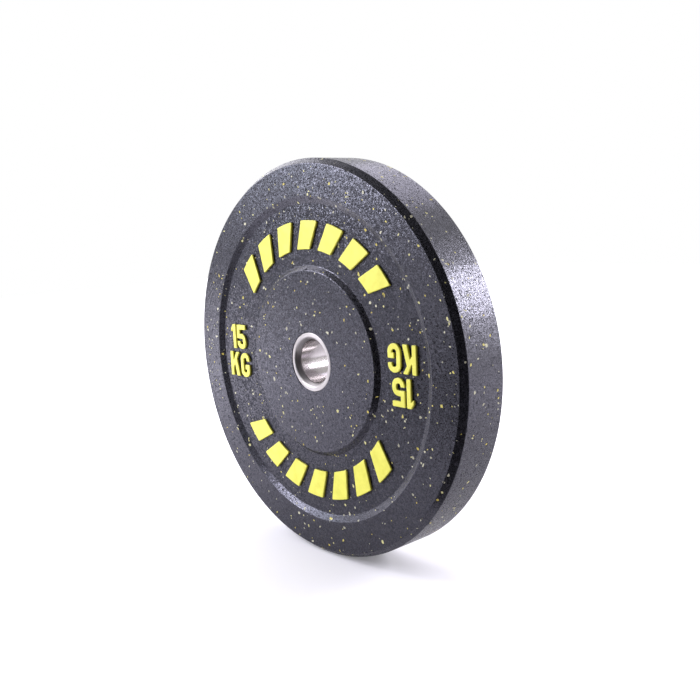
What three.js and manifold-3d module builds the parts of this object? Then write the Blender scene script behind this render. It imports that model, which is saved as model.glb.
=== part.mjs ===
import * as THREE from 'three';
import { mergeVertices } from 'three/addons/utils/BufferGeometryUtils.js';
import Module from 'manifold-3d';

// A 15 kg bumper plate for a barbell: a moulded crumb rubber disc on a steel hub, with a steel
// flange inside the rubber that keys the two together, and yellow marks vulcanised on both faces.
// Millimetres. The origin is the centre of the bore at half the thickness, the bore runs along Y,
// the front face looks towards -Y, and the plate stands on its tread with the marks upright, +Z up.

const wasm = await Module();
wasm.setup();

// Driving dimensions
const plateDiameter = 450;
const plateThickness = 65;
const boreDiameter = 50.4;

// Rubber body, from the tread inwards
const shoulderWidth = 5.6;
const shoulderHeight = 6.9;
const rimFaceWidth = 35.4;
const rimSlopeWidth = 7.6;
const bandDepth = 4.5;
const bandWidth = 68;
const bossWallWidth = 5.3;

// Steel hub
const hubWall = 8.3;
const hubSetback = 0.5;
const mouthChamferWidth = 3.3;
const mouthChamferDepth = 6;

// Steel flange inside the rubber
const flangeWidth = 31;
const flangeThickness = 5;
const flangeHoleDiameter = 18;
const flangeHoleCount = 8;

// Raised marks
const markProud = 3;
const barLength = 32;
const barLean = 12;
const barCount = 7;
const barGapShare = 0.38;
const arcSpan = THREE.MathUtils.degToRad(110);

// Weight marks: a line of figures over a line of letters
const textHeight = 30.5;
const strokeWidth = 6.2;
const lineGap = 4.5;
const letterGap = 2.4;
const oneWidth = 10;
const fiveWidth = 18;
const kWidth = 19.5;
const gWidth = 18.5;
const roundShare = 0.48;

// Clearance between pieces that the mould joins
const bondGap = 0.3;

// Facets. The tread's are wide enough for the plate to rest on one.
const treadSides = 28;
const ringSides = 96;
const holeSides = 16;
const bendSteps = 4;

const halfThickness = plateThickness / 2;
const halfTurn = Math.PI;
const quarterTurn = Math.PI / 2;

// Materials
const crumbRubber = { color: 0x46464d, roughness: 0.85, metalness: 0 };
const yellowRubber = { color: 0xf3e63f, roughness: 0.6, metalness: 0 };
const satinSteel = { color: 0xd0cccb, roughness: 0.25, metalness: 1 };
const rolledSteel = { color: 0x6d6f72, roughness: 0.5, metalness: 1 };

// A closed mesh with its shared corners joined.
function closed(geometry) {
  geometry.deleteAttribute('normal');
  geometry.deleteAttribute('uv');
  return mergeVertices(geometry);
}

// A closed mesh as a solid that can be joined and cut.
function solid(geometry) {
  const mesh = closed(geometry);
  return new wasm.Manifold(new wasm.Mesh({
    numProp: 3,
    vertProperties: new Float32Array(mesh.attributes.position.array),
    triVerts: new Uint32Array(mesh.index.array),
  }));
}

function meshOf(manifold) {
  const mesh = manifold.getMesh();
  const geometry = new THREE.BufferGeometry();
  geometry.setAttribute('position', new THREE.BufferAttribute(mesh.vertProperties, mesh.numProp));
  geometry.setIndex(new THREE.BufferAttribute(mesh.triVerts, 1));
  return geometry;
}

function piece(name, geometry, finish) {
  const mesh = new THREE.Mesh(geometry, new THREE.MeshStandardMaterial(finish));
  mesh.name = name;
  return mesh;
}

// A ring turned round Y from a closed profile of [radius, height] points, flat side down. Its
// flats lie on the true radii and its corners a little outside them.
function turned(profile, sides = ringSides) {
  const cornerScale = 1 / Math.cos(Math.PI / sides);
  const points = profile.map(([radius, y]) => new THREE.Vector2(radius * cornerScale, y));
  points.push(points[0].clone());
  return new THREE.LatheGeometry(points, sides, Math.PI / sides);
}

// A profile drawn for the front half, from the bore outwards, and its mirror image at the back.
function bothFaces(frontHalf) {
  const backHalf = frontHalf.map(([radius, y]) => [radius, -y]).reverse();
  return [...frontHalf, ...backHalf];
}

// Rubber body: rim face, slope, recessed band, boss wall and boss face, the same at the back
const treadRadius = plateDiameter / 2;
const rimOuterRadius = treadRadius - shoulderWidth;
const rimInnerRadius = rimOuterRadius - rimFaceWidth;
const bandOuterRadius = rimInnerRadius - rimSlopeWidth;
const bandInnerRadius = bandOuterRadius - bandWidth;
const bossRadius = bandInnerRadius - bossWallWidth;
const bandFloor = halfThickness - bandDepth;
const bandMiddleRadius = (bandOuterRadius + bandInnerRadius) / 2;

const hubRadius = boreDiameter / 2 + hubWall;
const hubSeatRadius = hubRadius + bondGap;
const flangeInnerRadius = hubSeatRadius;
const flangeOuterRadius = flangeInnerRadius + flangeWidth;
const flangeHoleCircle = (flangeInnerRadius + flangeOuterRadius) / 2;

// The holes of the flange, or the rubber keys that fill them, as rods along Y.
function flangeRods(diameter, length) {
  const rods = [];
  for (let i = 0; i < flangeHoleCount; i += 1) {
    const angle = (i * 2 * Math.PI) / flangeHoleCount;
    const rod = new THREE.CylinderGeometry(diameter / 2, diameter / 2, length, holeSides);
    rod.translate(flangeHoleCircle * Math.cos(angle), 0, flangeHoleCircle * Math.sin(angle));
    rods.push(solid(rod));
  }
  return rods;
}

// The space that the moulded rubber leaves round the flange, open towards the hub.
function flangePocket() {
  const halfGap = flangeThickness / 2 + bondGap;
  const ring = solid(turned([
    [hubRadius, -halfGap],
    [flangeOuterRadius + bondGap, -halfGap],
    [flangeOuterRadius + bondGap, halfGap],
    [hubRadius, halfGap],
  ]));
  return flangeRods(flangeHoleDiameter - 2 * bondGap, plateThickness)
    .reduce((pocket, key) => pocket.subtract(key), ring);
}

// The disc is joined to the coarser tread within the rim face.
function rubberBody() {
  const treadFootShare = 0.35;
  const discReachShare = 0.65;
  const disc = solid(turned(bothFaces([
    [hubSeatRadius, -halfThickness],
    [bossRadius, -halfThickness],
    [bandInnerRadius, -bandFloor],
    [bandOuterRadius, -bandFloor],
    [rimInnerRadius, -halfThickness],
    [rimInnerRadius + rimFaceWidth * discReachShare, -halfThickness],
  ])));
  const tread = solid(turned(bothFaces([
    [rimInnerRadius + rimFaceWidth * treadFootShare, -halfThickness],
    [rimOuterRadius, -halfThickness],
    [treadRadius, shoulderHeight - halfThickness],
  ]), treadSides));
  return piece('rubber_body', meshOf(disc.add(tread).subtract(flangePocket())), crumbRubber);
}

// Hub: a steel sleeve through the boss, with a long chamfer at each mouth of the bore
function hubSleeve() {
  const end = halfThickness - hubSetback;
  const boreRadius = boreDiameter / 2;
  const profile = bothFaces([
    [boreRadius, mouthChamferDepth - end],
    [boreRadius + mouthChamferWidth, -end],
    [hubRadius, -end],
  ]);
  return piece('hub_sleeve', closed(turned(profile)), satinSteel);
}

// Flange: a washer at half the thickness, with holes that the rubber flows through
function hubFlange() {
  const washer = solid(turned([
    [flangeInnerRadius, -flangeThickness / 2],
    [flangeOuterRadius, -flangeThickness / 2],
    [flangeOuterRadius, flangeThickness / 2],
    [flangeInnerRadius, flangeThickness / 2],
  ]));
  const drilled = flangeRods(flangeHoleDiameter, plateThickness)
    .reduce((plate, hole) => plate.subtract(hole), washer);
  return piece('hub_anchor_flange', meshOf(drilled), rolledSteel);
}

// A mark drawn in the plane of the face, x to the right and y up, raised from the band's floor
// towards the front.
function raisedMark(name, shape) {
  const geometry = new THREE.ExtrudeGeometry(shape, {
    depth: markProud,
    bevelEnabled: false,
    curveSegments: bendSteps,
  });
  geometry.rotateX(quarterTurn);
  geometry.translate(0, -bandFloor, 0);
  return piece(name, closed(geometry), yellowRubber);
}

// One slanted bar of an arc, between two angles at its foot. Its top end leans clockwise.
function barShape(startAngle, endAngle) {
  const innerRadius = bandMiddleRadius - barLength / 2;
  const outerRadius = bandMiddleRadius + barLength / 2;
  const lean = barLean / bandMiddleRadius;
  const shape = new THREE.Shape();
  shape.absarc(0, 0, innerRadius, startAngle, endAngle, false);
  shape.absarc(0, 0, outerRadius, endAngle - lean, startAngle - lean, true);
  shape.closePath();
  return shape;
}

// A row of bars along the top of the band
function barArc(label) {
  const group = new THREE.Group();
  const lean = barLean / bandMiddleRadius;
  const pitch = (arcSpan - lean) / (barCount - barGapShare);
  const firstAngle = quarterTurn + arcSpan / 2;
  for (let i = 0; i < barCount; i += 1) {
    const endAngle = firstAngle - i * pitch;
    const startAngle = endAngle - pitch * (1 - barGapShare);
    group.add(raisedMark(`${label}_bar_${i + 1}`, barShape(startAngle, endAngle)));
  }
  return group;
}

// Figures and letters in plain block strokes. Each is drawn from its lower left corner.

function shapeOf(points) {
  return new THREE.Shape(points.map(([x, y]) => new THREE.Vector2(x, y)));
}

// A one: an upright with a short flag
function figureOne() {
  const flagTopShare = 0.82;
  const flagFootShare = 0.62;
  const left = oneWidth - strokeWidth;
  return shapeOf([
    [left, 0],
    [oneWidth, 0],
    [oneWidth, textHeight],
    [left, textHeight],
    [0, textHeight * flagTopShare],
    [0, textHeight * flagFootShare],
    [left, textHeight * (1 + flagFootShare - flagTopShare)],
  ]);
}

// A five: a top bar and stem on a round bowl that is open at the left
function figureFive() {
  const bowlShare = 0.63;
  const tailShare = 0.12;
  const w = fiveWidth;
  const s = strokeWidth;
  const bowlTop = textHeight * bowlShare;
  const outer = Math.min(w, bowlTop) * roundShare;
  const inner = outer - s;
  const tailTop = outer + (bowlTop - s - outer) * tailShare;
  const shape = new THREE.Shape();
  shape.moveTo(0, textHeight);
  shape.lineTo(0, bowlTop - s);
  shape.lineTo(w - outer, bowlTop - s);
  shape.absarc(w - outer, bowlTop - outer, inner, quarterTurn, 0, true);
  shape.absarc(w - outer, outer, inner, 0, -quarterTurn, true);
  shape.absarc(outer, outer, inner, -quarterTurn, -halfTurn, true);
  shape.lineTo(s, tailTop);
  shape.lineTo(0, tailTop);
  shape.absarc(outer, outer, outer, halfTurn, halfTurn + quarterTurn, false);
  shape.absarc(w - outer, outer, outer, -quarterTurn, 0, false);
  shape.absarc(w - outer, bowlTop - outer, outer, 0, quarterTurn, false);
  shape.lineTo(s, bowlTop);
  shape.lineTo(s, textHeight - s);
  shape.lineTo(w, textHeight - s);
  shape.lineTo(w, textHeight);
  return shape;
}

// A K: an upright with two arms that meet on it
function letterK() {
  const armFootShare = 0.36;
  const armTopShare = 0.6;
  const legInnerShare = 0.2;
  const legOuterShare = 0.56;
  const armWidthShare = 1.16;
  const w = kWidth;
  const s = strokeWidth;
  const foot = textHeight * armFootShare;
  const armEnd = w - s * armWidthShare;
  const along = (share) => [s + (w - s) * share, foot + (textHeight - foot) * share];
  return shapeOf([
    [0, 0],
    [s, 0],
    [s, foot],
    along(legInnerShare),
    [armEnd, 0],
    [w, 0],
    along(legOuterShare),
    [w, textHeight],
    [armEnd, textHeight],
    [s, textHeight * armTopShare],
    [s, textHeight],
    [0, textHeight],
  ]);
}

// A G: a tall ring that is open at the right above a short shelf
function letterG() {
  const terminalShare = 0.66;
  const shelfShare = 0.52;
  const shelfReachShare = 0.5;
  const w = gWidth;
  const h = textHeight;
  const s = strokeWidth;
  const outer = w * roundShare;
  const inner = outer - s;
  const shape = new THREE.Shape();
  shape.moveTo(w, h * terminalShare);
  shape.absarc(w - outer, h - outer, outer, 0, quarterTurn, false);
  shape.absarc(outer, h - outer, outer, quarterTurn, halfTurn, false);
  shape.absarc(outer, outer, outer, halfTurn, halfTurn + quarterTurn, false);
  shape.absarc(w - outer, outer, outer, -quarterTurn, 0, false);
  shape.lineTo(w, h * shelfShare);
  shape.lineTo(w * shelfReachShare, h * shelfShare);
  shape.lineTo(w * shelfReachShare, h * shelfShare - s);
  shape.lineTo(w - s, h * shelfShare - s);
  shape.absarc(w - outer, outer, inner, 0, -quarterTurn, true);
  shape.absarc(outer, outer, inner, -quarterTurn, -halfTurn, true);
  shape.absarc(outer, h - outer, inner, halfTurn, quarterTurn, true);
  shape.absarc(w - outer, h - outer, inner, quarterTurn, 0, true);
  shape.lineTo(w - s, h * terminalShare);
  return shape;
}

// A line of a weight mark, centred on the middle of the band at the left of the hub
function textLine(label, glyphs, foot) {
  const group = new THREE.Group();
  const widths = glyphs.map(([, width]) => width);
  const lineWidth = widths.reduce((sum, width) => sum + width, letterGap * (glyphs.length - 1));
  let left = -bandMiddleRadius - lineWidth / 2;
  for (const [name, width, draw] of glyphs) {
    const mark = raisedMark(`${label}_${name}`, draw());
    mark.position.set(left, 0, foot);
    group.add(mark);
    left += width + letterGap;
  }
  return group;
}

// The weight mark at the left of the band: 15 over KG
function weightMark(label) {
  const figures = [['figure_1', oneWidth, figureOne], ['figure_5', fiveWidth, figureFive]];
  const letters = [['letter_k', kWidth, letterK], ['letter_g', gWidth, letterG]];
  const group = new THREE.Group();
  group.add(textLine(label, figures, lineGap / 2));
  group.add(textLine(label, letters, -lineGap / 2 - textHeight));
  return group;
}

// The marks of one face: an arc of bars and a weight mark, and the same again turned half round
function faceMarks(face) {
  const group = new THREE.Group();
  const halves = [
    { arc: 'upper', weight: 'left', turn: 0 },
    { arc: 'lower', weight: 'right', turn: halfTurn },
  ];
  for (const { arc, weight, turn } of halves) {
    const half = new THREE.Group();
    half.add(barArc(`${face}_${arc}`));
    half.add(weightMark(`${face}_${weight}`));
    half.rotation.y = turn;
    group.add(half);
  }
  return group;
}

const plate = new THREE.Group();
plate.add(rubberBody());
plate.add(hubSleeve());
plate.add(hubFlange());
plate.add(faceMarks('front'));
const backMarks = faceMarks('back');
backMarks.rotation.z = halfTurn;
plate.add(backMarks);

export default plate;
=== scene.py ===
import math
import random

import bmesh
import bpy
from mathutils import Matrix, Vector


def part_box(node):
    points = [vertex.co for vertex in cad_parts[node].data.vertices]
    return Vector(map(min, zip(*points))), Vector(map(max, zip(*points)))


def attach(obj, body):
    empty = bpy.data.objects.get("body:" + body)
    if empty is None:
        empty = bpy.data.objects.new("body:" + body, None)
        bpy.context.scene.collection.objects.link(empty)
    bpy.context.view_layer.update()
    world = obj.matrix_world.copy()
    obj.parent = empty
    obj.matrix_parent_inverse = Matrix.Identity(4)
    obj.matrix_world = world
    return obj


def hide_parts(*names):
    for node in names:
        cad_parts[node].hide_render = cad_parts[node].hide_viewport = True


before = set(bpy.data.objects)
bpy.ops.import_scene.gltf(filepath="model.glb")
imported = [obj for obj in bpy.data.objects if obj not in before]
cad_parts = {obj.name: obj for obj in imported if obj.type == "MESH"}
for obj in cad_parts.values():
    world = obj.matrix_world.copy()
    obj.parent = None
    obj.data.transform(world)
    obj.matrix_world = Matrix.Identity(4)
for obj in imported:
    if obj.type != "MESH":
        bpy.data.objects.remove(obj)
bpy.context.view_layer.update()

# Anchor flange: a washer of hot-rolled steel with eight holes, cut from plate and welded round the
# hub. The rubber is moulded over it and through its holes, so it is never seen. Its CAD node stays.

MM = 0.001


def linear(code):
    """A hex sRGB colour as linear RGBA."""
    shares = [int(code[i:i + 2], 16) / 255 for i in (1, 3, 5)]
    curved = [c / 12.92 if c <= 0.04045 else ((c + 0.055) / 1.055) ** 2.4 for c in shares]
    return (*curved, 1.0)


def add(tree, kind, inputs=None, stops=None, **settings):
    """Adds a shader node. An input is a value or another node's output; stops are a ramp's."""
    made = tree.nodes.new("ShaderNode" + kind)
    for setting, value in settings.items():
        setattr(made, setting, value)
    for socket, value in (inputs or {}).items():
        if isinstance(value, bpy.types.NodeSocket):
            tree.links.new(value, made.inputs[socket])
        else:
            made.inputs[socket].default_value = value
    if stops:
        marks = made.color_ramp.elements
        marks.remove(marks[1])
        marks[0].position, marks[0].color = stops[0]
        for position, colour in stops[1:]:
            marks.new(position).color = colour
    return made


def finish_named(name):
    """A new material with an empty node tree."""
    made = bpy.data.materials.new(name)
    made.use_nodes = True
    made.node_tree.nodes.clear()
    return made


def pattern(size):
    """The scale of a pattern whose features are that many millimetres wide."""
    return 1000 / size


def hot_rolled_steel():
    # Mill scale: dull blue-grey, cloudy over a few centimetres, with a fine pitted grain, which is
    # drawn 0.8 mm wide, coarser than it is, so that it can show.
    finish = finish_named("hot_rolled_steel")
    tree = finish.node_tree
    place = add(tree, "TexCoord").outputs["Object"]
    clouds = add(tree, "TexNoise", {"Vector": place, "Scale": pattern(18), "Detail": 4.0})
    pits = add(tree, "TexNoise", {"Vector": place, "Scale": pattern(0.8), "Detail": 2.0})
    tone = add(tree, "ValToRGB", {"Fac": clouds.outputs["Fac"]},
               stops=[(0.35, linear("#54575b")), (0.65, linear("#787b7e"))])
    dullness = add(tree, "MapRange", {"Value": clouds.outputs["Fac"], "To Min": 0.42,
                                      "To Max": 0.62})
    relief = add(tree, "Bump", {"Strength": 0.3, "Distance": 0.1 * MM,
                                "Height": pits.outputs["Fac"]})
    steel = add(tree, "BsdfPrincipled", {"Base Color": tone.outputs["Color"], "Metallic": 1.0,
                                         "Roughness": dullness.outputs["Result"],
                                         "Normal": relief.outputs["Normal"]})
    add(tree, "OutputMaterial", {"Surface": steel.outputs["BSDF"]})
    return finish


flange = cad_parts["hub_anchor_flange"]
flange.data.materials.clear()
flange.data.materials.append(hot_rolled_steel())

# Hub sleeve: stainless tube turned on a lathe and bored for a 50 mm barbell sleeve, with a
# chamfer at each mouth whose edges are well rounded. Its ends are half a millimetre below the
# boss faces.

BORE = 25.2
HUB = 33.5
HUB_END = 32.0
CHAMFER_WIDTH = 3.3
CHAMFER_DEPTH = 5.6


def rounded(corners, bend=math.radians(15), hold=0.25):
    """A closed outline from corners of (x, y, radius), with a point held near each arc's ends."""
    spots = [Vector(corner[:2]) for corner in corners]
    sides = [spots[(i + 1) % len(spots)] - spot for i, spot in enumerate(spots)]
    halves = [(math.pi - sides[i - 1].angle(side)) / 2 for i, side in enumerate(sides)]
    reaches = [corner[2] / math.tan(half) for corner, half in zip(corners, halves)]
    free = [side.length - reaches[i] - reaches[(i + 1) % len(spots)]
            for i, side in enumerate(sides)]
    outline = []
    for i, corner in enumerate(spots):
        radius, half, reach = corners[i][2], halves[i], reaches[i]
        if not radius:
            outline.append(corner)
            continue
        before, after = -sides[i - 1].normalized(), sides[i].normalized()
        centre = corner + (before + after).normalized() * (radius / math.sin(half))
        start = corner + before * reach - centre
        end = corner + after * reach - centre
        turn = start.angle(end)
        steps = max(2, math.ceil(turn / bend))
        outline.append(corner + before * (reach + min(hold, free[i - 1] / 3)))
        for k in range(steps + 1):
            share = k / steps
            along = start * math.sin((1 - share) * turn) + end * math.sin(share * turn)
            outline.append(centre + along / math.sin(turn))
        outline.append(corner + after * (reach + min(hold, free[i] / 3)))
    return outline


def spaced(outline, gap):
    """The same closed outline with no two neighbours further apart than the gap."""
    points = []
    for i, point in enumerate(outline):
        step = outline[(i + 1) % len(outline)] - point
        count = max(1, math.ceil(step.length / gap))
        points += [point + step * (k / count) for k in range(count)]
    return points


def shown(name, mesh, finish):
    """A new object for a mesh, smooth shaded, with its faces turned outwards."""
    tidy = bmesh.new()
    tidy.from_mesh(mesh)
    bmesh.ops.recalc_face_normals(tidy, faces=tidy.faces)
    tidy.to_mesh(mesh)
    tidy.free()
    mesh.shade_smooth()
    if finish:
        mesh.materials.append(finish)
    piece = bpy.data.objects.new(name, mesh)
    bpy.context.scene.collection.objects.link(piece)
    return piece


def turned(name, profile, sides, finish):
    """A ring turned round the bore from a closed profile of (radius, y) in millimetres."""
    points = []
    faces = []
    count = len(profile)
    for k in range(sides):
        angle = 2 * math.pi * k / sides
        here, there = k * count, (k + 1) % sides * count
        for j, (radius, y) in enumerate(profile):
            points.append((radius * math.cos(angle) * MM, y * MM, radius * math.sin(angle) * MM))
            following = (j + 1) % count
            faces.append((here + j, here + following, there + following, there + j))
    mesh = bpy.data.meshes.new(name)
    mesh.from_pydata(points, [], faces)
    return shown(name, mesh, finish)


def both_faces(front_half):
    """A profile drawn for the front half from the bore outwards, and its mirror image."""
    return front_half + [(radius, -y, bend) for radius, y, bend in reversed(front_half)]


def turned_stainless_steel():
    # Fine satin: bright, with hair-thin tool lines that run round the part and draw out what it
    # mirrors into bands across them. They are drawn 0.7 mm apart, coarser than the tool's, so
    # that they show. Barbell sleeves have worn the bore smoother than the end faces, and the
    # chamfers between them keep the coarsest tool marks: the ramp gives what is added to the
    # roughness, by the millimetres left to the end face.
    finish = finish_named("turned_stainless_steel")
    tree = finish.node_tree
    place = add(tree, "TexCoord").outputs["Object"]
    parts = add(tree, "SeparateXYZ", {"Vector": place})
    across = add(tree, "CombineXYZ", {"X": parts.outputs["X"], "Z": parts.outputs["Z"]})
    radius = add(tree, "VectorMath", {0: across.outputs["Vector"]}, operation="LENGTH")
    feed = add(tree, "Math", {0: radius.outputs["Value"], 1: parts.outputs["Y"]})
    lines = add(tree, "TexNoise", {"W": feed.outputs["Value"], "Scale": pattern(0.7),
                                   "Detail": 3.0}, noise_dimensions="1D")
    smears = add(tree, "TexNoise", {"Vector": place, "Scale": pattern(14), "Detail": 3.0})
    tone = add(tree, "ValToRGB", {"Fac": lines.outputs["Fac"]},
               stops=[(0.3, linear("#a39e9f")), (0.7, linear("#b3aeae"))])
    gloss = add(tree, "MapRange", {"Value": smears.outputs["Fac"], "From Min": 0.3,
                                   "From Max": 0.7, "To Min": 0.16, "To Max": 0.22})
    depth = add(tree, "Math", {0: parts.outputs["Y"]}, operation="ABSOLUTE")
    span = 40
    reach = add(tree, "Math", {0: depth.outputs["Value"], 1: 1000 / span}, operation="MULTIPLY")
    unworn = add(tree, "ValToRGB", {"Fac": reach.outputs["Value"]}, stops=[
        ((HUB_END - left) / span, (rough, rough, rough, 1.0))
        for left, rough in ((6.4, 0.0), (5.8, 0.3), (0.5, 0.3), (0.2, 0.2))])
    dullness = add(tree, "Math", {0: gloss.outputs["Result"], 1: unworn.outputs["Color"]})
    relief = add(tree, "Bump", {"Strength": 0.01, "Distance": 0.1 * MM,
                                "Height": lines.outputs["Fac"]})
    round_bore = add(tree, "Tangent", direction_type="RADIAL", axis="Y")
    steel = add(tree, "BsdfPrincipled", {"Base Color": tone.outputs["Color"], "Metallic": 1.0,
                                         "Roughness": dullness.outputs["Value"],
                                         "Anisotropic": 0.5, "Anisotropic Rotation": 0.25,
                                         "Tangent": round_bore.outputs["Tangent"],
                                         "Normal": relief.outputs["Normal"]})
    add(tree, "OutputMaterial", {"Surface": steel.outputs["BSDF"]})
    return finish


hub_profile = spaced(rounded(both_faces([
    (BORE, -HUB_END + CHAMFER_DEPTH, 4.0),
    (BORE + CHAMFER_WIDTH, -HUB_END, 3.0),
    (HUB, -HUB_END, 0.5),
])), gap=6.0)
sleeve = turned("turned_hub_sleeve", hub_profile, sides=192, finish=turned_stainless_steel())
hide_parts("hub_sleeve")
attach(sleeve, "root")

# Rubber body: granules of recycled tyre rubber and binder, pressed hot in a steel mould round the
# hub. Both faces have a flat rim, a recessed band for the marks and a raised boss. The tread and
# faces lie lower than the plate's own by what the colour granules stand proud.

CHIP_PROUD = 0.06
TREAD = 225.0 - CHIP_PROUD
FACE = 32.5 - CHIP_PROUD
BOSS_END = 103.1
BAND_START = 108.4
BAND_END = 176.4
BAND_MIDDLE = (BAND_START + BAND_END) / 2
BAND_FLOOR = 28.0
SLOPE_END = 184.0
RIM_END = 219.4
SHOULDER = 6.9
BOND_GAP = 0.3
GRANULE = 1.5


def pressed_crumb_rubber():
    # Charcoal granules that a polished mould has pressed level and glossy. Some lie lower, in
    # patches, and stay dull with dust, and thin pores run between them. The ramp's red is the
    # share of low granules, its green how far the rest lean and its blue how much finer they are:
    # the band is pressed least. Their grain is drawn 0.9 mm wide, coarser than it is, so that it
    # shows.
    finish = finish_named("pressed_crumb_rubber")
    tree = finish.node_tree
    place = add(tree, "TexCoord").outputs["Object"]
    parts = add(tree, "SeparateXYZ", {"Vector": place})
    flat = add(tree, "CombineXYZ", {"X": parts.outputs["X"], "Z": parts.outputs["Z"]})
    radius = add(tree, "VectorMath", {0: flat.outputs["Vector"]}, operation="LENGTH")
    span = 250
    reach = add(tree, "Math", {0: radius.outputs["Value"], 1: 1000 / span}, operation="MULTIPLY")
    pressing = add(tree, "ValToRGB", {"Fac": reach.outputs["Value"]}, stops=[
        (start / span, (low, lean, finer, 1.0)) for start, low, lean, finer in (
            (0.0, 0.015, 0.13, 0.0), (BAND_START, 0.34, 0.17, 0.0), (BAND_END, 0.04, 0.07, 0.3),
            (SLOPE_END, 0.07, 0.12, 0.0), (RIM_END, 0.02, 0.07, 0.5))])
    pressing.color_ramp.interpolation = "CONSTANT"
    zone = add(tree, "SeparateColor", {"Color": pressing.outputs["Color"]})
    fine = add(tree, "Math", {0: zone.outputs["Blue"], 1: pattern(GRANULE), 2: pattern(GRANULE)},
               operation="MULTIPLY_ADD")
    wander = add(tree, "TexNoise", {"Vector": place, "Scale": pattern(2 * GRANULE),
                                    "Detail": 2.0})
    centred = add(tree, "VectorMath", {0: wander.outputs["Color"], 1: (0.5, 0.5, 0.5)},
                  operation="SUBTRACT")
    shifted = add(tree, "VectorMath", {0: centred.outputs["Vector"],
                                       1: (GRANULE * MM / 4,) * 3, 2: place},
                  operation="MULTIPLY_ADD")
    spot = shifted.outputs["Vector"]
    granules = add(tree, "TexVoronoi", {"Vector": spot, "Scale": fine.outputs["Value"]})
    own = add(tree, "SeparateColor", {"Color": granules.outputs["Color"]})
    seams = add(tree, "TexVoronoi", {"Vector": spot, "Scale": fine.outputs["Value"]},
                feature="DISTANCE_TO_EDGE")
    pore = add(tree, "MapRange", {"Value": seams.outputs["Distance"], "From Max": 0.14})
    patches = add(tree, "Math", {0: wander.outputs["Fac"], 1: 0.5}, operation="SUBTRACT")
    clumped = add(tree, "Math", {0: patches.outputs["Value"], 1: 1.6, 2: own.outputs["Red"]},
                  operation="MULTIPLY_ADD")
    level = add(tree, "Math", {0: clumped.outputs["Value"], 1: zone.outputs["Red"]},
                operation="GREATER_THAN")
    pressed = add(tree, "Math", {0: level.outputs["Value"], 1: pore.outputs["Result"]},
                  operation="MULTIPLY")
    tone = add(tree, "ValToRGB", {"Fac": own.outputs["Green"]},
               stops=[(0.0, linear("#08080a")), (0.55, linear("#0f0f12")),
                      (1.0, linear("#1b1b1f"))])
    # The pores between granules are painted near black: painted shade in them.
    pore_shaded_tone = add(tree, "Mix", {"Factor": pore.outputs["Result"], "A": linear("#050506"),
                               "B": tone.outputs["Color"]}, data_type="RGBA")
    dusty = add(tree, "Mix", {"Factor": level.outputs["Value"], "A": linear("#38383e"),
                              "B": pore_shaded_tone.outputs["Result"]}, data_type="RGBA")
    gloss = add(tree, "MapRange", {"Value": own.outputs["Blue"], "To Min": 0.11,
                                   "To Max": 0.22})
    glossy = add(tree, "MapRange", {"Value": own.outputs["Green"], "To Min": 0.57,
                                    "To Max": 1.05})
    sheen = add(tree, "Mix", {"Factor": level.outputs["Value"], "A": 0.15,
                              "B": glossy.outputs["Result"]})
    dull = add(tree, "Mix", {"Factor": pressed.outputs["Value"], "A": 0.9,
                             "B": gloss.outputs["Result"]})
    upright = add(tree, "NewGeometry").outputs["Normal"]
    leaning = add(tree, "VectorMath", {0: granules.outputs["Color"], 1: (0.5, 0.5, 0.5)},
                  operation="SUBTRACT")
    slanted = add(tree, "VectorMath", {0: leaning.outputs["Vector"],
                                       "Scale": zone.outputs["Green"]}, operation="SCALE")
    tilted = add(tree, "VectorMath", {0: slanted.outputs["Vector"], 1: upright})
    levelled = add(tree, "VectorMath", {0: tilted.outputs["Vector"]}, operation="NORMALIZE")
    grain = add(tree, "TexNoise", {"Vector": place, "Scale": pattern(0.9), "Detail": 3.0})
    height = add(tree, "Math", {0: grain.outputs["Fac"], 1: 0.5, 2: pressed.outputs["Value"]},
                 operation="MULTIPLY_ADD")
    relief = add(tree, "Bump", {"Strength": 0.4, "Distance": 0.1 * MM,
                                "Height": height.outputs["Value"],
                                "Normal": levelled.outputs["Vector"]})
    rubber = add(tree, "BsdfPrincipled", {"Base Color": dusty.outputs["Result"],
                                          "Roughness": dull.outputs["Result"], "IOR": 1.52,
                                          "Specular IOR Level": sheen.outputs["Result"],
                                          "Specular Tint": (0.82, 0.8, 1.0, 1.0),
                                          "Normal": relief.outputs["Normal"]})
    add(tree, "OutputMaterial", {"Surface": rubber.outputs["BSDF"]})
    return finish


def cut(piece, tool):
    """Takes the tool's shape out of the piece, and deletes the tool."""
    trim = piece.modifiers.new("cut", "BOOLEAN")
    trim.operation = "DIFFERENCE"
    trim.solver = "MANIFOLD"
    trim.object = tool
    bpy.context.view_layer.update()
    ready = bpy.data.meshes.new_from_object(
        piece.evaluated_get(bpy.context.evaluated_depsgraph_get()))
    piece.modifiers.clear()
    piece.data = ready
    bpy.data.objects.remove(tool)


body_profile = spaced(rounded(both_faces([
    (HUB + BOND_GAP, -FACE, 0.6),
    (BOSS_END, -FACE, 1.6),
    (BAND_START, -BAND_FLOOR, 1.2),
    (BAND_END, -BAND_FLOOR, 1.2),
    (SLOPE_END, -FACE, 1.4),
    (RIM_END, -FACE, 1.2),
    (TREAD, -FACE + SHOULDER, 1.2),
])), gap=7.0)
body = turned("crumb_rubber_body", body_profile, sides=384, finish=pressed_crumb_rubber())

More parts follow.
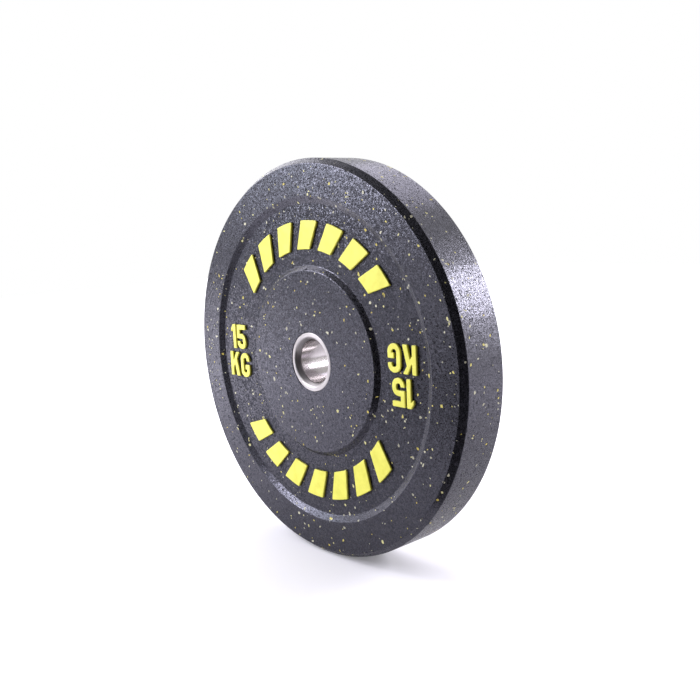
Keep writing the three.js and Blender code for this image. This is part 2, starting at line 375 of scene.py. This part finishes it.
FLANGE_WIDTH = 31.0
FLANGE_HALF = 2.5
HOLES = 8
HOLE_RADIUS = 9.0
hole_circle = HUB + BOND_GAP + FLANGE_WIDTH / 2
pocket_end = HUB + FLANGE_WIDTH + 2 * BOND_GAP
pocket_half = FLANGE_HALF + BOND_GAP
pocket = turned("flange_pocket", [
    (HUB, -pocket_half), (pocket_end, -pocket_half), (pocket_end, pocket_half),
    (HUB, pocket_half),
], sides=96, finish=None)
for k in range(HOLES):
    angle = 2 * math.pi * k / HOLES
    bpy.ops.mesh.primitive_cylinder_add(
        vertices=32, radius=(HOLE_RADIUS - BOND_GAP) * MM, depth=20 * MM,
        location=(hole_circle * MM * math.cos(angle), 0, hole_circle * MM * math.sin(angle)),
        rotation=(math.pi / 2, 0, 0))
    cut(pocket, bpy.context.object)
cut(body, pocket)
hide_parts("rubber_body")
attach(body, "root")

# Colour granules: chips of yellow EPDM rubber, mixed into the crumb before pressing. They lie
# flush in every face, and the mould leaves each a hair proud of the black.

CHIP_MEDIAN = 2.1
CHIP_SMALLEST = 0.9
CHIP_LARGEST = 4.2
CHIP_DEPTH = 0.5


def cut_epdm_rubber():
    # Dyed through and cut small: matt, and each chip its own shade, most of them cream or straw
    # where the binder has hazed the yellow, with soiled specks.
    finish = finish_named("cut_epdm_rubber")
    tree = finish.node_tree
    place = add(tree, "TexCoord").outputs["Object"]
    chip = add(tree, "NewGeometry").outputs["Random Per Island"]
    dye = add(tree, "ValToRGB", {"Fac": chip}, stops=[
        (0.0, linear("#c6c2a8")), (0.36, linear("#d6cf90")), (0.6, linear("#d2c462")),
        (0.76, linear("#a5a18c")), (0.92, linear("#c8b44c"))])
    dye.color_ramp.interpolation = "CONSTANT"
    dirt = add(tree, "TexNoise", {"Vector": place, "Scale": pattern(0.6), "Detail": 2.0})
    grey = add(tree, "MapRange", {"Value": dirt.outputs["Fac"], "From Min": 0.45,
                                  "From Max": 0.8, "To Max": 0.3})
    soiled = add(tree, "Mix", {"Factor": grey.outputs["Result"], "A": dye.outputs["Color"],
                               "B": linear("#4a4638")}, data_type="RGBA")
    relief = add(tree, "Bump", {"Strength": 0.3, "Distance": 0.1 * MM,
                                "Height": dirt.outputs["Fac"]})
    rubber = add(tree, "BsdfPrincipled", {"Base Color": soiled.outputs["Result"],
                                          "Roughness": 0.6, "IOR": 1.5,
                                          "Normal": relief.outputs["Normal"]})
    add(tree, "OutputMaterial", {"Surface": rubber.outputs["BSDF"]})
    return finish


def on_surface(profile, station, angle, lift):
    """The point that far along a turned surface's profile and round it, lifted off it."""
    for start, end in zip(profile, profile[1:]):
        side = end - start
        if station <= side.length:
            break
        station -= side.length
    side.normalize()
    spot = start + side * station + Vector((side.y, -side.x)) * lift
    return Vector((spot.x * math.cos(angle), spot.y, spot.x * math.sin(angle))) * MM


def chips(profile, per_square_mm, seed):
    """Thin chips with ragged outlines, strewn evenly over the turned surface of a profile."""
    draw = random.Random(seed)
    runs = list(zip(profile, profile[1:]))
    areas = [(end - start).length * math.pi * (start.x + end.x) for start, end in runs]
    stations = [sum((end - start).length for start, end in runs[:i]) for i in range(len(runs))]
    points = []
    faces = []
    for i in draw.choices(range(len(runs)), areas, k=round(sum(areas) * per_square_mm)):
        start, end = runs[i]
        share = draw.random()
        middle = stations[i] + (end - start).length * share
        radius = start.lerp(end, share).x
        angle = draw.uniform(0, 2 * math.pi)
        size = draw.lognormvariate(math.log(CHIP_MEDIAN), 0.4)
        size = min(CHIP_LARGEST, max(CHIP_SMALLEST, size))
        stretch = draw.uniform(1.0, 1.35)
        spin = draw.uniform(0, math.pi)
        sides = draw.randint(4, 6)
        rim = []
        for k in range(sides):
            turn = 2 * math.pi * (k + draw.uniform(-0.3, 0.3)) / sides
            reach = size / 2 * draw.uniform(0.65, 1.15)
            x = reach * stretch * math.cos(turn)
            y = reach / stretch * math.sin(turn)
            rim.append((max(0.0, middle + x * math.cos(spin) - y * math.sin(spin)),
                        angle + (x * math.sin(spin) + y * math.cos(spin)) / radius))
        base = len(points)
        for lift in (CHIP_PROUD, -CHIP_DEPTH):
            points += [on_surface(profile, station, at, lift) for station, at in rim]
        faces.append([base + k for k in range(sides)])
        faces.append([base + sides + k for k in reversed(range(sides))])
        for k in range(sides):
            after = (k + 1) % sides
            faces.append((base + k, base + sides + k, base + sides + after, base + after))
    mesh = bpy.data.meshes.new("colour_granules")
    mesh.from_pydata(points, [], faces)
    return mesh


outside = [point for point in body_profile if point.x > HUB + 2]
granules = shown("colour_granules", chips(outside, per_square_mm=0.0044, seed=15),
                 cut_epdm_rubber())
granules.data.shade_flat()
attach(granules, "root")

# Raised bars: seven slanted bars of yellow rubber along the top of each band and seven along the
# bottom, vulcanised to the band's floor in the same press, with rounded edges for the mould.

MARK_TOP = 31.0
MARK_FOOT = 27.8
MARK_EDGE = 0.7
DRAFT = 0.12
FLAT_START = 0.12


def moulded_yellow_rubber():
    # Dyed rubber from a polished mould: lemon yellow and even, softly shiny, with a faint
    # orange-peel surface. Its walls are painted darker olive towards their foot, as painted shade.
    finish = finish_named("moulded_yellow_rubber")
    tree = finish.node_tree
    place = add(tree, "TexCoord").outputs["Object"]
    parts = add(tree, "SeparateXYZ", {"Vector": place})
    depth = add(tree, "Math", {0: parts.outputs["Y"]}, operation="ABSOLUTE")
    clouds = add(tree, "TexNoise", {"Vector": place, "Scale": pattern(9), "Detail": 3.0})
    dye = add(tree, "ValToRGB", {"Fac": clouds.outputs["Fac"]},
              stops=[(0.3, linear("#e2dd50")), (0.7, linear("#efea62"))])
    # Painted shade: the walls turn olive towards their foot, where they meet the band's floor.
    wall = add(tree, "MapRange", {"Value": depth.outputs["Value"],
                                  "From Min": (BAND_FLOOR + 0.2) * MM,
                                  "From Max": (MARK_TOP - MARK_EDGE) * MM})
    foot_shaded_dye = add(tree, "Mix", {"Factor": wall.outputs["Result"], "A": linear("#6f6420"),
                             "B": dye.outputs["Color"]}, data_type="RGBA")
    peel = add(tree, "TexNoise", {"Vector": place, "Scale": pattern(1.6), "Detail": 2.0})
    gloss = add(tree, "MapRange", {"Value": clouds.outputs["Fac"], "To Min": 0.38,
                                   "To Max": 0.52})
    relief = add(tree, "Bump", {"Strength": 0.15, "Distance": 0.2 * MM,
                                "Height": peel.outputs["Fac"]})
    rubber = add(tree, "BsdfPrincipled", {"Base Color": foot_shaded_dye.outputs["Result"],
                                          "Roughness": gloss.outputs["Result"], "IOR": 1.5,
                                          "Normal": relief.outputs["Normal"]})
    add(tree, "OutputMaterial", {"Surface": rubber.outputs["BSDF"]})
    return finish


yellow = moulded_yellow_rubber()


def inset(outline, depth):
    """An anticlockwise outline drawn again inside itself by that depth."""
    moved = []
    for i, point in enumerate(outline):
        before = (point - outline[i - 1]).normalized()
        after = (outline[(i + 1) % len(outline)] - point).normalized()
        inward = Vector((-before.y - after.y, before.x + after.x))
        moved.append(point + inward * (depth / (1 + before.dot(after))))
    return moved


def raised_mark(node, corners, origin=(0.0, 0.0)):
    """A mark that replaces a CAD node of the same name: back marks face backwards, and those of
    the lower arc and the right-hand weight mark are turned half round."""
    across = -1 if node.startswith("back") else 1
    upright = -1 if "_lower_" in node or "_right_" in node else 1
    outline = rounded(corners)
    rings = [(outline, MARK_FOOT)]
    for lean in map(math.radians, (0, 30, 60, 90)):
        rings.append((inset(outline, DRAFT + MARK_EDGE * (1 - math.cos(lean))),
                      MARK_TOP - MARK_EDGE * (1 - math.sin(lean))))
    rings.append((inset(outline, DRAFT + MARK_EDGE + FLAT_START), MARK_TOP))
    points = []
    faces = []
    count = len(outline)
    for ring, height in rings:
        for x, y in ring:
            points.append(((origin[0] + across * upright * x) * MM,
                           -across * height * MM,
                           (origin[1] + upright * y) * MM))
    for k in range(len(rings) - 1):
        for j in range(count):
            after = (j + 1) % count
            faces.append((k * count + j, k * count + after,
                          (k + 1) * count + after, (k + 1) * count + j))
    faces.append(range(count))
    faces.append(range((len(rings) - 1) * count, len(rings) * count))
    mesh = bpy.data.meshes.new(node)
    mesh.from_pydata(points, [], faces)
    mark = shown("raised_" + node, mesh, yellow)
    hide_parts(node)
    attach(mark, "root")


BARS = 7
BAR_LENGTH = 32.0
BAR_SHARE = 0.62
BAR_SLANT = 12.0
BAR_CORNER = 1.3
BAR_STEPS = 6
ARC_SPAN = math.radians(110)
lean = BAR_SLANT / BAND_MIDDLE
pitch = (ARC_SPAN - lean) / (BARS - 1 + BAR_SHARE)
for i in range(BARS):
    end = math.pi / 2 + ARC_SPAN / 2 - i * pitch
    corners = []
    for radius, first, last in (
            (BAND_MIDDLE + BAR_LENGTH / 2, end - lean - pitch * BAR_SHARE, end - lean),
            (BAND_MIDDLE - BAR_LENGTH / 2, end, end - pitch * BAR_SHARE)):
        for k in range(BAR_STEPS + 1):
            angle = first + (last - first) * k / BAR_STEPS
            corners.append((radius * math.cos(angle), radius * math.sin(angle),
                            BAR_CORNER if k in (0, BAR_STEPS) else 0))
    for face in ("front", "back"):
        for arc in ("upper", "lower"):
            raised_mark(f"{face}_{arc}_bar_{i + 1}", corners)

# Weight marks: 15 over KG in block figures at the left of each band, and turned half round at the
# right, of the same yellow rubber and made the same way as the bars.

STROKE = 6.2
TALL = 30.5
SOFT = 1.0
NOTCH = 0.5


def softened(*corners):
    """Anticlockwise corners, each with its own radius or, where it has none, one for the mould:
    the inner corners are tighter than the outer ones."""
    done = []
    for i, (x, y, *radius) in enumerate(corners):
        before = Vector((x, y)) - Vector(corners[i - 1][:2])
        after = Vector(corners[(i + 1) % len(corners)][:2]) - Vector((x, y))
        outer = before.x * after.y > before.y * after.x
        done.append((x, y, radius[0] if radius else SOFT if outer else NOTCH))
    return done


ONE_WIDE = 10.0
ONE_STEM = ONE_WIDE - STROKE
FIVE_WIDE = 18.0
FIVE_BEND = FIVE_WIDE * 0.48
FIVE_INNER = FIVE_BEND - STROKE
FIVE_BOWL = TALL * 0.63
FIVE_TAIL = FIVE_BEND + SOFT + 0.1
K_WIDE = 19.5
K_LEG = K_WIDE - STROKE * 1.16
K_FOOT = TALL * 0.36
G_WIDE = 18.5
G_BEND = G_WIDE * 0.48
G_INNER = G_BEND - STROKE
G_SHELF = TALL * 0.52
GLYPHS = {
    "figure_1": softened(
        (ONE_STEM, 0), (ONE_WIDE, 0), (ONE_WIDE, TALL), (ONE_STEM, TALL), (0, TALL * 0.82),
        (0, TALL * 0.62), (ONE_STEM, TALL * 0.8)),
    "figure_5": softened(
        (0, TALL), (0, FIVE_BOWL - STROKE),
        (FIVE_WIDE - STROKE, FIVE_BOWL - STROKE, FIVE_INNER),
        (FIVE_WIDE - STROKE, STROKE, FIVE_INNER), (STROKE, STROKE, FIVE_INNER),
        (STROKE, FIVE_TAIL), (0, FIVE_TAIL), (0, 0, FIVE_BEND), (FIVE_WIDE, 0, FIVE_BEND),
        (FIVE_WIDE, FIVE_BOWL, FIVE_BEND), (STROKE, FIVE_BOWL), (STROKE, TALL - STROKE),
        (FIVE_WIDE, TALL - STROKE), (FIVE_WIDE, TALL)),
    "letter_k": softened(
        (0, 0), (STROKE, 0), (STROKE, K_FOOT),
        (STROKE + (K_WIDE - STROKE) * 0.2, K_FOOT + (TALL - K_FOOT) * 0.2),
        (K_LEG, 0), (K_WIDE, 0),
        (STROKE + (K_WIDE - STROKE) * 0.56, K_FOOT + (TALL - K_FOOT) * 0.56),
        (K_WIDE, TALL), (K_LEG, TALL), (STROKE, TALL * 0.6), (STROKE, TALL), (0, TALL)),
    "letter_g": softened(
        (G_WIDE, TALL * 0.66), (G_WIDE, TALL, G_BEND), (0, TALL, G_BEND), (0, 0, G_BEND),
        (G_WIDE, 0, G_BEND), (G_WIDE, G_SHELF), (G_WIDE / 2, G_SHELF),
        (G_WIDE / 2, G_SHELF - STROKE), (G_WIDE - STROKE, G_SHELF - STROKE),
        (G_WIDE - STROKE, STROKE, G_INNER), (STROKE, STROKE, G_INNER),
        (STROKE, TALL - STROKE, G_INNER), (G_WIDE - STROKE, TALL - STROKE, G_INNER),
        (G_WIDE - STROKE, TALL * 0.66)),
}
for glyph, corners in GLYPHS.items():
    for face in ("front", "back"):
        for side in ("left", "right"):
            node = f"{face}_{side}_{glyph}"
            low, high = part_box(node)
            x = low.x if (face == "front") == (side == "left") else high.x
            z = low.z if side == "left" else high.z
            raised_mark(node, corners, (x / MM, z / MM))

# Studio: the plate stands on a sweep of white paper, with soft boxes behind it and in front at
# the left. Black felt hangs round the camera, unseen by it and casting no shadow. A felt sheet on
# the floor before it, for the near shoulder, and two black cards among the soft boxes at the
# left, for the upper half of the face, are seen only in reflections: painted dark reflections.

FLOOR = -0.225
PAPER_HALF = 4.0
DRAPE_AWAY = 1.5
CARD_AWAY = 1.4


def white_sweep():
    # Matt paper that takes the plate's soft shadow and turns white to the camera further away.
    # The plate and its hub mirror the same white, fading to the bare paper under the plate: the
    # glow is weaker near the plate, as painted shade round it.
    finish = finish_named("white_sweep")
    tree = finish.node_tree
    place = add(tree, "NewGeometry").outputs["Position"]
    away = add(tree, "VectorMath", {0: place}, operation="LENGTH")
    # Painted shade: the glow is weaker within 0.8 m of the plate's centre, and in reflections gone
    # within 0.25 m.
    glow_outside_painted_shade = add(tree, "MapRange", {"Value": away.outputs["Value"], "From Min": 0.25,
                                      "From Max": 0.6, "To Max": 0.4})
    far = add(tree, "MapRange", {"Value": away.outputs["Value"], "From Min": 0.55,
                                 "From Max": 0.8, "To Min": 0.18, "To Max": 0.6})
    ray = add(tree, "LightPath")
    seen = add(tree, "Math", {0: ray.outputs["Is Glossy Ray"],
                              1: ray.outputs["Is Transmission Ray"]})
    shaded = add(tree, "Math", {0: seen.outputs["Value"], 1: glow_outside_painted_shade.outputs["Result"]},
                 operation="MULTIPLY")
    bright = add(tree, "Math", {0: glow_outside_painted_shade.outputs["Result"], 1: far.outputs["Result"]})
    lift = add(tree, "Math", {0: ray.outputs["Is Camera Ray"], 1: bright.outputs["Value"],
                              2: shaded.outputs["Value"]}, operation="MULTIPLY_ADD")
    paper = add(tree, "BsdfDiffuse", {"Color": linear("#e6e4e9")})
    glow = add(tree, "Emission", {"Color": linear("#fbfaff"), "Strength": lift.outputs["Value"]})
    mixed = add(tree, "AddShader", {0: paper.outputs["BSDF"], 1: glow.outputs["Emission"]})
    add(tree, "OutputMaterial", {"Surface": mixed.outputs["Shader"]})
    return finish


paper = bpy.data.meshes.new("floor")
paper.from_pydata([(x * PAPER_HALF, y * PAPER_HALF, FLOOR)
                   for x, y in ((-1, -1), (1, -1), (1, 1), (-1, 1))], [], [(0, 1, 2, 3)])
shown("floor", paper, white_sweep())


def black_felt():
    # Dull and deep black: what mirrors it stays dark, which draws the near shoulder's black line.
    finish = finish_named("black_felt")
    tree = finish.node_tree
    felt = add(tree, "BsdfDiffuse", {"Color": linear("#0a0a0b")})
    add(tree, "OutputMaterial", {"Surface": felt.outputs["BSDF"]})
    return finish


felt = black_felt()


def felt_sheet(name, rows, shading):
    """A hanging or lying sheet, from rows of points, that the camera doesn't see and that casts no
    shadow. It takes soft light from what is near it only where it is shading; elsewhere only
    reflections see it."""
    columns = len(rows[0])
    mesh = bpy.data.meshes.new(name)
    mesh.from_pydata([point for row in rows for point in row], [], [
        (k, k + 1, k + 1 + columns, k + columns)
        for k in range((len(rows) - 1) * columns) if (k + 1) % columns])
    sheet = shown(name, mesh, felt)
    sheet.visible_camera = False
    sheet.visible_shadow = False
    sheet.visible_diffuse = shading


def outward(azimuth, elevation):
    """The direction at that azimuth, as the camera's is measured, and elevation, in degrees."""
    level = math.cos(math.radians(elevation))
    return Vector((math.sin(math.radians(azimuth)) * level,
                   -math.cos(math.radians(azimuth)) * level, math.sin(math.radians(elevation))))


DRAPE_END = 92
DRAPE_STARTS = (-28, -28, -28, -30, -30, -34, -48, -62, -80, -100, -100)
felt_sheet("black_drape", [
    [outward(start + (DRAPE_END - start) * j / 14, -8 + 98 * i / 10) * DRAPE_AWAY
     for j in range(15)] for i, start in enumerate(DRAPE_STARTS)], shading=True)

# The floor sheet is seen only in reflections: a painted dark reflection of the floor before the
# plate.
cloth = []
for i in range(5):
    row = []
    for azimuth in range(-36, 96, 6):
        near = 0.25 if azimuth < 60 else 0.19
        away = near / max(0.5, math.cos(math.radians(azimuth - 49.5))) + 0.35 * i
        spot = outward(azimuth, 0) * away
        row.append((spot.x, spot.y, FLOOR + 0.001))
    cloth.append(row)
felt_sheet("painted_dark_reflection_floor", cloth, shading=False)

# The cards are seen only in reflections: painted dark reflections at the left.
CARD_ROWS = ((-4, 0.5), (-1.5, 0.85), (1, 1), (3, 0.95), (5, 0.7), (6.5, 0.3))
for name, middle, half_width in (("painted_dark_reflection_left", -50.5, 8.5), ("painted_dark_reflection_far_left", -73, 7)):
    felt_sheet(name, [
        [outward(middle + half_width * share * (j / 3 - 1), elevation) * CARD_AWAY
         for j in range(7)] for elevation, share in CARD_ROWS], shading=False)


def soft_box(name, azimuth, elevation, distance, width, height, radiance, tint=(0.95, 0.94, 1.0)):
    """A diffuser of that radiance and tint, turned to the plate."""
    light = bpy.data.lights.new(name, "AREA")
    light.shape = "RECTANGLE"
    light.size, light.size_y = width, height
    light.energy = radiance * math.pi * width * height
    light.color = tint
    box = bpy.data.objects.new(name, light)
    box.location = outward(azimuth, elevation) * distance
    box.rotation_euler = outward(azimuth, elevation).to_track_quat("Z", "Y").to_euler()
    box.visible_camera = False
    bpy.context.scene.collection.objects.link(box)


soft_box("soft_box_back_right", 145, 22, 1.6, 0.55, 0.5, 21.0)
soft_box("low_panel_right", 145, 6, 1.6, 0.55, 0.3, 5.6)
soft_box("soft_box_back_left", -158, 42, 1.6, 0.9, 0.6, 2.4, (0.84, 0.8, 1.0))
soft_box("soft_box_left", -90, 36, 1.35, 1.2, 0.9, 2.9)
soft_box("soft_box_front_left", -42, 37, 1.4, 0.42, 0.4, 21.0)
soft_box("panel_front_left", -35, 18, 1.42, 0.42, 0.36, 14.0)
soft_box("panel_left", -44, 17, 1.45, 0.7, 0.4, 3.9, (0.78, 0.9, 1.0))
soft_box("low_panel_left", -65, -7, 0.95, 0.4, 0.24, 2.7)

world = bpy.data.worlds.new("studio")
bpy.context.scene.world = world
world.use_nodes = True
sky = world.node_tree
sky.nodes.clear()
white = add(sky, "Background", {"Color": (1, 1, 1, 1), "Strength": 1.0})
add(sky, "OutputWorld", {"Surface": white.outputs["Background"]})

# Camera: a little above the bore and to the right of the front face, close enough for the near
# side of the tread to show its width.

AZIMUTH = 49.52
ELEVATION = 9.75
DISTANCE = 0.9821
PAN = 1.199
TILT = 0.478
ROLL = 2.58
FOCAL_PIXELS = 853.0
PICTURE_PIXELS = 700
SENSOR = 36


def right_and_up(ahead):
    """The directions to the right and up of an upright camera that looks that way."""
    right = ahead.cross(Vector((0, 0, 1))).normalized()
    return right, right.cross(ahead)


back = outward(AZIMUTH, ELEVATION)
right, up = right_and_up(-back)
ahead = (-back + right * math.tan(math.radians(PAN))
         + up * math.tan(math.radians(TILT))).normalized()
right, up = right_and_up(ahead)
roll = Matrix.Rotation(math.radians(ROLL), 3, ahead)
right, up = roll @ right, roll @ up
lens = bpy.data.cameras.new("camera")
lens.sensor_width = SENSOR
lens.lens = FOCAL_PIXELS / PICTURE_PIXELS * SENSOR
camera = bpy.data.objects.new("camera", lens)
camera.matrix_world = Matrix([
    (right[k], up[k], -ahead[k], back[k] * DISTANCE) for k in range(3)] + [(0, 0, 0, 1)])
bpy.context.scene.collection.objects.link(camera)
bpy.context.scene.camera = camera
bpy.context.scene.view_settings.view_transform = "Standard"
